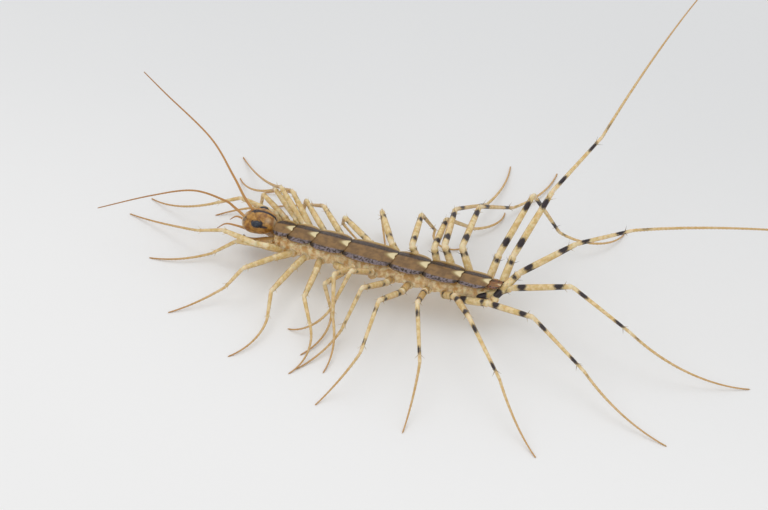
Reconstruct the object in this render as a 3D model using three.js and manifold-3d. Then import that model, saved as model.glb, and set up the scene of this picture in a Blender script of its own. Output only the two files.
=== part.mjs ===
// House centipede (Scutigera coleoptrata), a still life-size model in one walking pose.
// Millimetres, +Z up, the floor at z = 0. The head looks along -X and the left side is -Y.
import * as THREE from 'three';
import Module from 'manifold-3d';

const wasm = await Module();
wasm.setup();
const { Manifold, Mesh: ManifoldMesh } = wasm;

// Body sizes
const RIDGE_Z = 4.1; // top of the back plates
const GAP = 0.06; // clearance between neighbouring solids
const LEAST = 0.007; // keeps the head's end rings open
const LEG_PAIRS = 15;
const FACETS = 6; // sides of a leg or feeler
const COXA_Z = 2.4; // height of the leg sockets
const COXA_Y = 1.5; // half distance between the left and right sockets
const FOOT_RADIUS = 0.29; // tarsus, thickened to a sturdy solid
const FOOT_Z = FOOT_RADIUS * Math.cos(Math.PI / FACETS); // a flat of the tarsus lies on the floor

// Trunk: an oval loft that narrows and lifts from tailFrom on, and rounds off over its two ends.
const TRUNK = {
  front: -10.2, rear: 13.1, midZ: 2.45, half: 1.3, up: 1.15, down: 1.0, stations: 14, around: 12,
  tailFrom: 5, tailHalf: 0.85, tailRaise: 0.2, tailUp: 0.2, tailDown: 0.1,
};
const TRUNK_ENDS = {
  frontSet: 1.2, frontOver: 2.4, rearSet: 0.9, rearOver: 1.8, half: 0.55, up: 0.7, down: 0.6,
};
const HEAD = {
  x: -12.1, y: 0.3, z: 3.72, halfLength: 1.78, halfWidth: 1.5, up: 1.22, down: 1.12, yaw: 9,
  blunt: 2.5, frontDrop: 0.12, stations: 10, around: 14,
};
const EYE = { along: 0.05, across: 1.27, up: 0.56, size: [0.46, 0.34, 0.38], facets: 12 };

// Back plates: the rear margin's x and the half width of each, front to rear.
const PLATES = [
  { rear: -8.4, half: 1.42 },
  { rear: -5.9, half: 1.6 },
  { rear: -2.5, half: 1.72 },
  { rear: 2.4, half: 1.74 },
  { rear: 5.8, half: 1.7 },
  { rear: 9.3, half: 1.62 },
  { rear: 12.15, half: 1.33 },
  { rear: 13.35, half: 0.78 },
];
const PLATE_FRONT = -10.15;
// rise is the arch across the widest plate, lift raises a rear margin, and waist and corner round the
// outline.
const PLATE = { rise: 0.25, thickness: 0.34, lift: 0.1, waist: 0.12, corner: 0.14, stations: 5, across: 6 };
const WIDEST = Math.max(...PLATES.map(({ half }) => half));

// Walking pose, one row a leg, in whole degrees: heading (0 is the tail's way, -90 the left) and rise of the
// prefemur, femur and tibia, then the tarsus: heading, turn along it, length in mm. lift holds a tip off the
// floor, and reach scales the segments.
const POSE = {
  left: [
    { prefemur: [-138, 29], femur: [167, -3], tibia: [180, -18], tarsus: [163, 4, 9.4] },
    { prefemur: [-127, 36], femur: [165, -19], tibia: [-161, -34], tarsus: [-137, -39, 6.3] },
    { prefemur: [-124, 7], femur: [-110, 13], tibia: [-156, -52], tarsus: [-125, -14, 6.0] },
    { prefemur: [-99, -2], femur: [-93, 2], tibia: [-73, -25], tarsus: [-80, -52, 5.8] },
    { prefemur: [-74, 11], femur: [-80, 1], tibia: [-54, -20], tarsus: [-54, -66, 5.9] },
    { prefemur: [-38, 20], femur: [-94, 17], tibia: [64, -77], tarsus: [-64, -57, 6.7] },
    { prefemur: [-68, 42], femur: [-90, 27], tibia: [-69, -65], tarsus: [-55, -39, 6.0] },
    { prefemur: [-66, 44], femur: [-94, 35], tibia: [-157, -67], tarsus: [-114, -78, 5.1] },
    { prefemur: [-75, 31], femur: [-96, 28], tibia: [-158, -69], tarsus: [-94, -28, 6.4] },
    { prefemur: [-81, 22], femur: [-92, 26], tibia: [-83, -18], tarsus: [-135, 26, 6.5] },
    { prefemur: [-71, 34], femur: [-74, 27], tibia: [-64, -20], tarsus: [-85, 2, 6.8] },
    { prefemur: [-41, 31], femur: [-54, 18], tibia: [-41, -22], tarsus: [-48, 10, 8.6] },
    { prefemur: [-5, 12], femur: [-24, 17], tibia: [-23, -20], tarsus: [-35, 23, 10.9] },
    { prefemur: [30, 16], femur: [-2, 20], tibia: [-16, -16], tarsus: [-14, 40, 12.3] },
    { prefemur: [57, 31], femur: [19, 36], tibia: [-6, 33], tarsus: [52, -33, 23], lift: 8, reach: 0.94 },
  ],
  right: [
    { prefemur: [145, 28], femur: [178, 10], tibia: [-173, -24], tarsus: [-175, -30, 8.7] },
    { prefemur: [151, 33], femur: [146, 2], tibia: [128, -62], tarsus: [-174, 35, 4.7] },
    { prefemur: [156, 46], femur: [144, 12], tibia: [123, -37], tarsus: [162, -35, 7.8] },
    { prefemur: [168, 33], femur: [155, 38], tibia: [126, -34], tarsus: [133, 0, 12.7] },
    { prefemur: [173, 14], femur: [148, 37], tibia: [136, -30], tarsus: [62, 146, 7.9], reach: 1.05 },
    { prefemur: [173, 11], femur: [142, 17], tibia: [124, -56], tarsus: [-54, 0, 4.7], reach: 1.08 },
    { prefemur: [175, 18], femur: [138, 7], tibia: [135, -33], tarsus: [169, 21, 3.9], reach: 1.08 },
    { prefemur: [167, 32], femur: [151, 8], tibia: [119, -45], tarsus: [-23, 0, 3.5], reach: 0.84 },
    { prefemur: [157, 45], femur: [127, 11], tibia: [114, -46], tarsus: [-59, 0, 3.7], reach: 0.84 },
    { prefemur: [160, 60], femur: [102, 6], tibia: [88, -52], tarsus: [-92, 162, 4.6], reach: 0.86 },
    { prefemur: [149, 73], femur: [100, -3], tibia: [76, -40], tarsus: [39, 70, 5.2], reach: 0.92 },
    { prefemur: [154, 58], femur: [104, -3], tibia: [85, -29], tarsus: [84, 24, 8.6], reach: 1.1 },
    { prefemur: [145, 55], femur: [99, -1], tibia: [83, -33], tarsus: [59, 41, 8.5], reach: 1.12 },
    { prefemur: [82, 46], femur: [79, 31], tibia: [69, -59], tarsus: [-4, 102, 8.6], reach: 1.04 },
    { prefemur: [83, 43], femur: [75, 35], tibia: [72, 19], tarsus: [89, -3, 24], lift: 14, reach: 1.06 },
  ],
};

const radians = THREE.MathUtils.degToRad;
const clamp01 = (v) => Math.min(Math.max(v, 0), 1);
const smooth = (v) => clamp01(v) ** 2 * (3 - 2 * clamp01(v));
const vec = (x, y, z) => new THREE.Vector3(x, y, z);

/** Unit vector of a heading and a rise in degrees. */
const direction = ([heading, rise]) =>
  vec(
    Math.cos(radians(heading)) * Math.cos(radians(rise)),
    Math.sin(radians(heading)) * Math.cos(radians(rise)),
    Math.sin(radians(rise)),
  );

// Leg proportions: each segment grows from the first pair to the last.
const PREFEMUR = { first: 2.0, gain: 1.4, power: 1.5 };
const FEMUR = { first: 4.0, gain: 2.9, power: 1.8 };
const TIBIA = { first: 2.9, gain: 4.4, fromPair: 3, overPairs: 11 };
const share = (pair) => (pair - 1) / (LEG_PAIRS - 1);
const grown = ({ first, gain, power }, pair) => first + gain * share(pair) ** power;
const tibiaLength = (pair) => TIBIA.first + TIBIA.gain * smooth((pair - TIBIA.fromPair) / TIBIA.overPairs);

// Sockets: close together at both ends of the body, widest apart in the middle.
const SOCKETS = { middle: 0.6, reach: 11.2, even: 1.2, crowd: 0.2, bow: 0.7, rearBow: 0.5 };
const socketX = (pair) => {
  const t = 2 * share(pair) - 1;
  const spread = SOCKETS.even * t - SOCKETS.crowd * t ** 3;
  const bow = SOCKETS.bow * t * t + SOCKETS.rearBow * Math.max(t, 0) ** 4;
  return SOCKETS.middle + SOCKETS.reach * spread + bow;
};
const REAR_SOCKETS = { 14: { y: 0.9, raise: 0.3 }, 15: { y: 0.5, raise: 0.6 } };
const socketPoint = (pair, side) => {
  const { y, raise } = REAR_SOCKETS[pair] ?? { y: COXA_Y, raise: 0 };
  return vec(socketX(pair), side * y, COXA_Z + raise);
};

/** Closed manifold from a vertex list and triangle list. */
const solid = (points, triangles) =>
  new Manifold(
    new ManifoldMesh({
      numProp: 3,
      vertProperties: Float32Array.from(points.flatMap((p) => [p.x, p.y, p.z])),
      triVerts: Uint32Array.from(triangles.flat()),
    }),
  );

/** Closed tube through rings of equal size, capped by a fan at each end. */
const tube = (rings) => {
  const size = rings[0].length;
  const points = rings.flat();
  const triangles = [];
  for (let r = 0; r + 1 < rings.length; r += 1) {
    for (let k = 0; k < size; k += 1) {
      const a = r * size + k;
      const b = r * size + ((k + 1) % size);
      triangles.push([a, b, b + size], [a, b + size, a + size]);
    }
  }
  const caps = [rings[0], rings[rings.length - 1]].map((ring) =>
    ring.reduce((sum, p) => sum.add(p), vec(0, 0, 0)).divideScalar(size),
  );
  const first = points.length;
  const last = (rings.length - 1) * size;
  for (let k = 0; k < size; k += 1) {
    const next = (k + 1) % size;
    triangles.push([first, next, k], [first + 1, last + k, last + next]);
  }
  return solid([...points, ...caps], triangles);
};

/** Tube along a path. Its facets are lined up at the path's end, so that one lies flat underneath. */
const sweep = (path, radii) => {
  const steps = path.slice(1).map((p, i) => p.clone().sub(path[i]).normalize());
  let side = vec(0, 0, 1).cross(steps[steps.length - 1]).normalize();
  const rings = [];
  for (let i = path.length - 1; i >= 0; i -= 1) {
    const before = steps[Math.max(i - 1, 0)];
    const after = steps[Math.min(i, steps.length - 1)];
    const along = before.clone().add(after).normalize();
    const stretch = 1 / Math.max(along.dot(after), 0.5);
    side = side.sub(along.clone().multiplyScalar(side.dot(along))).normalize();
    const up = along.clone().cross(side);
    const bend = after.clone().sub(before);
    const across = bend.sub(along.clone().multiplyScalar(bend.dot(along)));
    if (across.lengthSq() > 1e-9) across.normalize();
    rings.unshift(
      Array.from({ length: FACETS }, (_, k) => {
        const angle = (2 * Math.PI * k) / FACETS;
        const offset = side.clone().multiplyScalar(Math.cos(angle) * radii[i]);
        offset.add(up.clone().multiplyScalar(Math.sin(angle) * radii[i]));
        offset.add(across.clone().multiplyScalar(offset.dot(across) * (stretch - 1)));
        return path[i].clone().add(offset);
      }),
    );
  }
  return tube(rings);
};

/** Rounded lengthwise body: cross-sections across X whose size follows a profile. */
const loft = ({ front, rear, stations, around, section }) => {
  const rings = Array.from({ length: stations }, (_, s) => {
    const t = s / (stations - 1);
    const x = front + (rear - front) * (0.5 - 0.5 * Math.cos(Math.PI * t));
    const { y, z, half, up, down } = section(x);
    return Array.from({ length: around }, (_, k) => {
      const angle = (2 * Math.PI * (k + 0.5)) / around;
      const high = Math.sin(angle);
      return vec(x, y + half * Math.cos(angle), z + (high > 0 ? up : down) * high);
    });
  });
  return tube(rings);
};

const trunkSolid = (grow) =>
  loft({
    ...TRUNK,
    front: TRUNK.front - grow,
    rear: TRUNK.rear + grow,
    section: (x) => {
      const tail = smooth((x - TRUNK.tailFrom) / (TRUNK.rear - TRUNK.tailFrom));
      const atFront = smooth((x - TRUNK.front + grow + TRUNK_ENDS.frontSet) / TRUNK_ENDS.frontOver);
      const atRear = smooth((TRUNK.rear + grow + TRUNK_ENDS.rearSet - x) / TRUNK_ENDS.rearOver);
      const taper = (least) => least + (1 - least) * atFront * atRear;
      return {
        y: 0,
        z: TRUNK.midZ + TRUNK.tailRaise * tail,
        half: (TRUNK.half + (TRUNK.tailHalf - TRUNK.half) * tail) * taper(TRUNK_ENDS.half) + grow,
        up: (TRUNK.up - TRUNK.tailUp * tail) * taper(TRUNK_ENDS.up) + grow,
        down: (TRUNK.down - TRUNK.tailDown * tail) * taper(TRUNK_ENDS.down) + grow,
      };
    },
  });

const placeOnHead = (shape) => shape.rotate([0, 0, HEAD.yaw]).translate([HEAD.x, HEAD.y, HEAD.z]);

const headSolid = (grow) => {
  const long = HEAD.halfLength + grow;
  return placeOnHead(
    loft({
      front: -long,
      rear: long,
      stations: HEAD.stations,
      around: HEAD.around,
      section: (x) => {
        const size = Math.max(1 - (Math.abs(x) / (long + LEAST)) ** HEAD.blunt, 0) ** 0.5;
        const forward = clamp01(-x / long);
        return {
          y: 0,
          z: -HEAD.frontDrop * forward,
          half: (HEAD.halfWidth + grow) * size,
          up: (HEAD.up + grow) * size,
          down: (HEAD.down + grow) * size,
        };
      },
    }),
  );
};

const eyeSolid = (side) =>
  placeOnHead(
    Manifold.sphere(1, EYE.facets)
      .scale(EYE.size)
      .translate([EYE.along, side * EYE.across, EYE.up]),
  );

/** Arched plate between two x positions, raised a little at its rear margin. */
const plateSolid = (front, { rear, half }) => {
  const { rise, thickness, lift, waist, corner, stations, across } = PLATE;
  const points = [];
  const index = (layer, s, k) => (layer * stations + s) * (across + 1) + k;
  for (const drop of [0, thickness]) {
    for (let s = 0; s < stations; s += 1) {
      const t = s / (stations - 1);
      const fromMiddle = 2 * t - 1;
      const width = half * (1 - waist * Math.abs(fromMiddle) ** 3);
      for (let k = 0; k <= across; k += 1) {
        const u = (2 * k) / across - 1;
        const z = RIDGE_Z - lift * (1 - t) - rise * ((u * half) / WIDEST) ** 2 - drop;
        points.push(vec(front + (rear - front) * t - corner * u * u * fromMiddle, u * width, z));
      }
    }
  }
  const triangles = [];
  const quad = (a, b, c, d) => triangles.push([a, b, c], [a, c, d]);
  for (let s = 0; s + 1 < stations; s += 1) {
    for (let k = 0; k < across; k += 1) {
      quad(index(0, s, k), index(0, s + 1, k), index(0, s + 1, k + 1), index(0, s, k + 1));
      quad(index(1, s, k), index(1, s, k + 1), index(1, s + 1, k + 1), index(1, s + 1, k));
    }
    quad(index(0, s, 0), index(1, s, 0), index(1, s + 1, 0), index(0, s + 1, 0));
    quad(index(0, s, across), index(0, s + 1, across), index(1, s + 1, across), index(1, s, across));
  }
  const end = stations - 1;
  for (let k = 0; k < across; k += 1) {
    quad(index(0, 0, k), index(0, 0, k + 1), index(1, 0, k + 1), index(1, 0, k));
    quad(index(0, end, k), index(1, end, k), index(1, end, k + 1), index(0, end, k + 1));
  }
  return solid(points, triangles);
};

const TARSUS = { sink: 1.5, longFrom: 12, steps: 5, longSteps: 7 };

/** Points of the tarsus: it sinks from the ankle to the floor and turns evenly. */
const tarsusPath = (ankle, [heading, turn, length], lift) => {
  const count = length > TARSUS.longFrom ? TARSUS.longSteps : TARSUS.steps;
  const last = FOOT_Z + lift;
  const points = [];
  let at = ankle;
  for (let n = 1; n <= count; n += 1) {
    const s = n / count;
    const z = last + (ankle.z - last) * (1 - s) ** TARSUS.sink;
    const sink = z - at.z;
    const run = Math.sqrt(Math.max((length / count) ** 2 - sink * sink, 0));
    const angle = radians(heading + turn * (s - 0.5 / count));
    at = vec(at.x + run * Math.cos(angle), at.y + run * Math.sin(angle), z);
    points.push(at);
  }
  return points;
};

const MIDDLE = 0.5;
const ROOT = { y: 0.75, drop: 0.45 }; // where a coxa leaves the trunk

const legPath = (pair, side, pose) => {
  const reach = pose.reach ?? 1;
  const socket = socketPoint(pair, side);
  const root = vec(socket.x, side * ROOT.y, socket.z - ROOT.drop);
  const along = (from, length, pointing) => from.clone().addScaledVector(direction(pointing), length * reach);
  const hip = along(socket, grown(PREFEMUR, pair), pose.prefemur);
  const knee = along(hip, grown(FEMUR, pair), pose.femur);
  const ankle = along(knee, tibiaLength(pair), pose.tibia);
  const between = (a, b, t) => a.clone().lerp(b, t);
  return [
    root,
    socket,
    between(socket, hip, MIDDLE),
    hip,
    between(hip, knee, MIDDLE),
    knee,
    between(knee, ankle, MIDDLE),
    ankle,
    ...tarsusPath(ankle, pose.tarsus, pose.lift ?? 0),
  ];
};

// Radii from the root of the coxa to the middle of the tibia, for the first pair; the tarsus has FOOT_RADIUS.
const LEG_RADII = [0.46, 0.44, 0.42, 0.4, 0.38, 0.34, 0.3];
const STOUTER = 0.04; // added to those of the last pair
const legRadii = (pair, count) =>
  Array.from({ length: count }, (_, i) =>
    i < LEG_RADII.length ? LEG_RADII[i] + STOUTER * share(pair) : FOOT_RADIUS,
  );

const legSolid = (pair, side, pose, grow = 0) => {
  const path = legPath(pair, side, pose);
  return sweep(path, legRadii(pair, path.length).map((r) => r + grow));
};

// Feelers, poison claws and palps follow smooth curves through a few points.
const curvePoints = (points, count) =>
  new THREE.CatmullRomCurve3(points.map((p) => vec(...p))).getPoints(count);

const FEELERS = {
  left: [[-13.4, -0.2, 4.1], [-14.6, 0.0, 4.8], [-15.6, -0.4, 5.7], [-18.3, -1.7, 6.9], [-22.6, -2.5, 5.5],
    [-27.6, -4.1, 3.6]],
  right: [[-13.3, 1.1, 4.3], [-14.5, 1.8, 5.0], [-16.1, 2.7, 6.5], [-19.4, 4.5, 8.9], [-26.2, 8.3, 9.8],
    [-29.8, 10.5, 10.1]],
};
const CLAWS = {
  left: [[-11.0, -0.75, 2.15], [-12.0, -1.0, 2.0], [-13.1, -0.75, 1.95], [-13.6, -0.33, 2.1]],
  right: [[-11.0, 0.95, 2.15], [-12.0, 1.3, 2.0], [-13.1, 1.1, 1.95], [-13.6, 0.68, 2.1]],
};
const PALPS = {
  left: [[-13.3, -0.5, 3.0], [-14.3, -0.5, 3.1], [-15.4, -0.55, 3.0], [-16.3, -0.7, 2.3]],
  right: [[-13.4, 0.7, 2.9], [-14.6, 1.2, 2.8], [-15.3, 1.4, 2.6], [-15.9, 1.3, 2.1]],
};
const STEPS = { feeler: 11, claw: 6, palp: 5 };
const limbSolid = (points, count) => {
  const path = curvePoints(points, count);
  return sweep(path, path.map(() => FOOT_RADIUS));
};

const group = new THREE.Group();
group.name = 'house_centipede';

const addMesh = (name, shape, finish) => {
  const { vertProperties, triVerts, numProp } = shape.getMesh();
  const positions = new Float32Array((vertProperties.length / numProp) * 3);
  for (let v = 0; v < positions.length / 3; v += 1) {
    positions.set(vertProperties.subarray(v * numProp, v * numProp + 3), v * 3);
  }
  const geometry = new THREE.BufferGeometry();
  geometry.setAttribute('position', new THREE.BufferAttribute(positions, 3));
  geometry.setIndex(Array.from(triVerts));
  geometry.computeVertexNormals();
  const mesh = new THREE.Mesh(geometry, new THREE.MeshStandardMaterial({ ...finish, metalness: 0 }));
  mesh.name = name;
  group.add(mesh);
};

const FINISH = {
  straw: { color: 0xd9c08b, roughness: 0.5 },
  flank: { color: 0xcbb088, roughness: 0.55 },
  plate: { color: 0x7d6547, roughness: 0.4 },
  head: { color: 0x9c7230, roughness: 0.45 },
  feeler: { color: 0xb98240, roughness: 0.5 },
  claw: { color: 0xb98240, roughness: 0.35 },
  eye: { color: 0x1b212c, roughness: 0.15 },
};

const head = headSolid(0);
const headRoom = headSolid(GAP);
const trunk = trunkSolid(0).subtract(headRoom);
const trunkRoom = trunkSolid(GAP);
addMesh('head', head, FINISH.head);
addMesh('trunk', trunk, FINISH.flank);
let clear = headRoom.add(trunkRoom);
PLATES.forEach((plate, n) => {
  const front = n === 0 ? PLATE_FRONT : PLATES[n - 1].rear + GAP;
  const shape = plateSolid(front, plate).subtract(headRoom);
  addMesh(`tergite_${n + 1}`, shape, FINISH.plate);
  clear = clear.add(shape).add(shape.translate([0, 0, -GAP]));
});

/** The largest of a cut shape's loose bodies. */
const largest = (shape) =>
  shape.decompose().reduce((best, body) => (body.volume() > best.volume() ? body : best));

for (const [name, side] of [['left', -1], ['right', 1]]) {
  addMesh(`eye_${name}`, eyeSolid(side).subtract(headRoom), FINISH.eye);
  addMesh(`antenna_${name}`, limbSolid(FEELERS[name], STEPS.feeler).subtract(headRoom), FINISH.feeler);
  addMesh(`poison_claw_${name}`, limbSolid(CLAWS[name], STEPS.claw).subtract(clear), FINISH.claw);
  POSE[name].forEach((pose, n) => {
    addMesh(`leg_${name}_${n + 1}`, largest(legSolid(n + 1, side, pose).subtract(clear)), FINISH.straw);
    clear = clear.add(legSolid(n + 1, side, pose, GAP));
  });
  addMesh(`palp_${name}`, largest(limbSolid(PALPS[name], STEPS.palp).subtract(clear)), FINISH.feeler);
}

// The origin goes to the middle of the bounding box's underside.
const box = new THREE.Box3().setFromObject(group);
const middle = box.getCenter(new THREE.Vector3());
group.position.set(-middle.x, -middle.y, -box.min.z);

export default group;
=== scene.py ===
"""House centipede, life size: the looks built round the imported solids.

Sizes are millimetres in the body's own frame (head towards -X, left side towards -Y, floor at z = 0) until a
mesh is built; BodyFrame then takes them to metres in the row's frame.
"""

import logging
from dataclasses import dataclass, field
from enum import Enum

import bpy
import numpy as np
from mathutils import Matrix, Vector


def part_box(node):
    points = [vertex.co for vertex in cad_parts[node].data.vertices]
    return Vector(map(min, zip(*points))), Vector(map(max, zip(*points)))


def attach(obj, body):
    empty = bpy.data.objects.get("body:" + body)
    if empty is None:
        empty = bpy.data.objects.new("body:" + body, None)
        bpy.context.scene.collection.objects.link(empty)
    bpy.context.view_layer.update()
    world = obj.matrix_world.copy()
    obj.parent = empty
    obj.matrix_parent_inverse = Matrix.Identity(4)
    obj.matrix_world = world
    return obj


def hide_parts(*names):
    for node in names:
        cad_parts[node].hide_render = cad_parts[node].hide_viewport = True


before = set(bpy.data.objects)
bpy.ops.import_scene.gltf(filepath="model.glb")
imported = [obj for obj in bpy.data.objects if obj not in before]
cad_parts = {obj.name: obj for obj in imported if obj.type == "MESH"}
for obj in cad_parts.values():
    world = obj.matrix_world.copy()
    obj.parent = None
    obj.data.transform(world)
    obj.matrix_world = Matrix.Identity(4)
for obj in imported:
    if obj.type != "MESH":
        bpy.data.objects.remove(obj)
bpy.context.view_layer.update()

log = logging.getLogger("centipede")

Array = np.ndarray
Colour = tuple[float, float, float, float]
Socket = bpy.types.NodeSocket
Step = tuple[float, float]  # where a change begins and where it is complete
Bell = tuple[float, float]  # middle and width
Mound = tuple[float, float, float]  # height, middle and width

MM = 0.001
BAKE_MAP = "OFBake"
LEG_PAIRS = 15
SEED = 20


class Side(Enum):
    """The two sides of the body, by the sign of y."""

    LEFT = -1
    RIGHT = 1

    @property
    def label(self) -> str:
        """Lower-case name used in node names."""
        return self.name.lower()


class Segment(Enum):
    """Stretches of a leg, from the trunk outwards."""

    COXA = 0
    PREFEMUR = 1
    FEMUR = 2
    TIBIA = 3
    TARSUS = 4


@dataclass(frozen=True)
class LegPose:
    """Walking pose of a leg in whole degrees: heading and rise of three segments, then the tarsus.

    The tarsus has its heading, its turn along the length and its length in millimetres. lift holds the tip
    off the floor, and reach scales the segments.
    """

    prefemur: tuple[float, float]
    femur: tuple[float, float]
    tibia: tuple[float, float]
    tarsus: tuple[float, float, float]
    lift: float = 0.0
    reach: float = 1.0


POSES: dict[Side, tuple[LegPose, ...]] = {
    Side.LEFT: (
        LegPose((-138, 29), (167, -3), (180, -18), (163, 4, 9.4)),
        LegPose((-127, 36), (165, -19), (-161, -34), (-137, -39, 6.3)),
        LegPose((-124, 7), (-110, 13), (-156, -52), (-125, -14, 6.0)),
        LegPose((-99, -2), (-93, 2), (-73, -25), (-80, -52, 5.8)),
        LegPose((-74, 11), (-80, 1), (-54, -20), (-54, -66, 5.9)),
        LegPose((-38, 20), (-94, 17), (64, -77), (-64, -57, 6.7)),
        LegPose((-68, 42), (-90, 27), (-69, -65), (-55, -39, 6.0)),
        LegPose((-66, 44), (-94, 35), (-157, -67), (-114, -78, 5.1)),
        LegPose((-75, 31), (-96, 28), (-158, -69), (-94, -28, 6.4)),
        LegPose((-81, 22), (-92, 26), (-83, -18), (-135, 26, 6.5)),
        LegPose((-71, 34), (-74, 27), (-64, -20), (-85, 2, 6.8)),
        LegPose((-41, 31), (-54, 18), (-41, -22), (-48, 10, 8.6)),
        LegPose((-5, 12), (-24, 17), (-23, -20), (-35, 23, 10.9)),
        LegPose((30, 16), (-2, 20), (-16, -16), (-14, 40, 12.3)),
        LegPose((57, 31), (19, 36), (-6, 33), (52, -33, 23), lift=8, reach=0.94),
    ),
    Side.RIGHT: (
        LegPose((145, 28), (178, 10), (-173, -24), (-175, -30, 8.7)),
        LegPose((151, 33), (146, 2), (128, -62), (-174, 35, 4.7)),
        LegPose((156, 46), (144, 12), (123, -37), (162, -35, 7.8)),
        LegPose((168, 33), (155, 38), (126, -34), (133, 0, 12.7)),
        LegPose((173, 14), (148, 37), (136, -30), (62, 146, 7.9), reach=1.05),
        LegPose((173, 11), (142, 17), (124, -56), (-54, 0, 4.7), reach=1.08),
        LegPose((175, 18), (138, 7), (135, -33), (169, 21, 3.9), reach=1.08),
        LegPose((167, 32), (151, 8), (119, -45), (-23, 0, 3.5), reach=0.84),
        LegPose((157, 45), (127, 11), (114, -46), (-59, 0, 3.7), reach=0.84),
        LegPose((160, 60), (102, 6), (88, -52), (-92, 162, 4.6), reach=0.86),
        LegPose((149, 73), (100, -3), (76, -40), (39, 70, 5.2), reach=0.92),
        LegPose((154, 58), (104, -3), (85, -29), (84, 24, 8.6), reach=1.1),
        LegPose((145, 55), (99, -1), (83, -33), (59, 41, 8.5), reach=1.12),
        LegPose((82, 46), (79, 31), (69, -59), (-4, 102, 8.6), reach=1.04),
        LegPose((83, 43), (75, 35), (72, 19), (89, -3, 24), lift=14, reach=1.06),
    ),
}


def tint(red: int, green: int, blue: int) -> Colour:
    """Linear colour of a display colour given as 0 to 255: ((v + 0.055) / 1.055) ** 2.4 of each share."""
    shares = (np.array([red, green, blue]) / 255 + 0.055) / 1.055
    return (*(float(v) for v in shares**2.4), 1.0)


def smooth(value: Array | float) -> Array:
    """Smooth step of a value from 0 to 1: v * v * (3 - 2 v), held outside."""
    held = np.clip(value, 0, 1)
    return held * held * (3 - 2 * held)


def bump(value: Array, middle: float, width: float) -> Array:
    """Bell of height 1 about middle: exp(-((v - middle) / width) ** 2)."""
    return np.exp(-(((value - middle) / width) ** 2))


def mound(value: Array, shape: Mound) -> Array:
    """Bell of a stated height."""
    height, middle, width = shape
    return height * bump(value, middle, width)


def parabola(share: Array, root: Array | float, middle: Array | float, end: Array | float) -> Array:
    """Parabola through the values at shares 0, 0.5 and 1."""
    near, far = root * (1 - share) * (1 - 2 * share), end * share * (2 * share - 1)
    return near + middle * 4 * share * (1 - share) + far


def crowded(share: Array) -> Array:
    """Shares from 0 to 1 set closer at both ends: (1 - cos(pi s)) / 2."""
    return 0.5 - 0.5 * np.cos(np.pi * share)


def circle(count: int) -> Array:
    """Angles of one turn in even steps, as a row."""
    return (2 * np.pi * np.arange(count) / count)[None, :]


def unit(vectors: Array) -> Array:
    """Vectors along the last axis, each divided by its length."""
    return vectors / np.maximum(np.linalg.norm(vectors, axis=-1, keepdims=True), 1e-12)


def direction(heading: Array | float, rise: Array | float) -> Array:
    """Unit vector of a heading about +Z from +X and a rise above the floor, in degrees."""
    turn, lift = np.radians(heading), np.radians(rise)
    return np.stack([np.cos(turn) * np.cos(lift), np.sin(turn) * np.cos(lift), np.sin(lift)], axis=-1)


def through(points: Array, count: int) -> Array:
    """Smooth curve through points, as a Catmull-Rom spline with mirrored ends.

    Args:
        points: the given points, one a row.
        count: number of points on the curve.

    Returns:
        Points spread evenly over the spline's parameter.
    """
    padded = np.vstack([2 * points[0] - points[1], points, 2 * points[-1] - points[-2]])
    place = np.linspace(0, len(points) - 1, count)
    span = np.minimum(place.astype(int), len(points) - 2)
    t = (place - span)[:, None]
    a, b, c, d = (padded[span + k] for k in range(4))
    return 0.5 * (2 * b + (c - a) * t + (2 * a - 5 * b + 4 * c - d) * t**2 + (3 * b - a - 3 * c + d) * t**3)


def axes_along(path: Array) -> tuple[Array, Array, Array]:
    """Tangent, sideways and upward unit vectors at each point of a path; sideways is level."""
    tangent = unit(np.gradient(path, axis=0))
    side = unit(np.cross([0.0, 0.0, 1.0], tangent))
    return tangent, side, np.cross(tangent, side)


def spokes(angle: Array, side: Array, up: Array) -> Array:
    """Unit vectors at each station and angle, turned from the sideways axis towards the upward one."""
    return np.cos(angle)[..., None] * side[:, None] + np.sin(angle)[..., None] * up[:, None]


@dataclass(frozen=True)
class Cell:
    """Rectangle of the bake map that one surface fills."""

    left: float
    bottom: float
    right: float
    top: float

    def place(self, along: Array, around: Array) -> Array:
        """Map places of shares along and around, each from 0 to 1."""
        u = self.left + (self.right - self.left) * along
        v = self.bottom + (self.top - self.bottom) * around
        return np.stack(np.broadcast_arrays(u, v), axis=-1)


WHOLE = Cell(0.01, 0.01, 0.99, 0.99)


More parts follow.
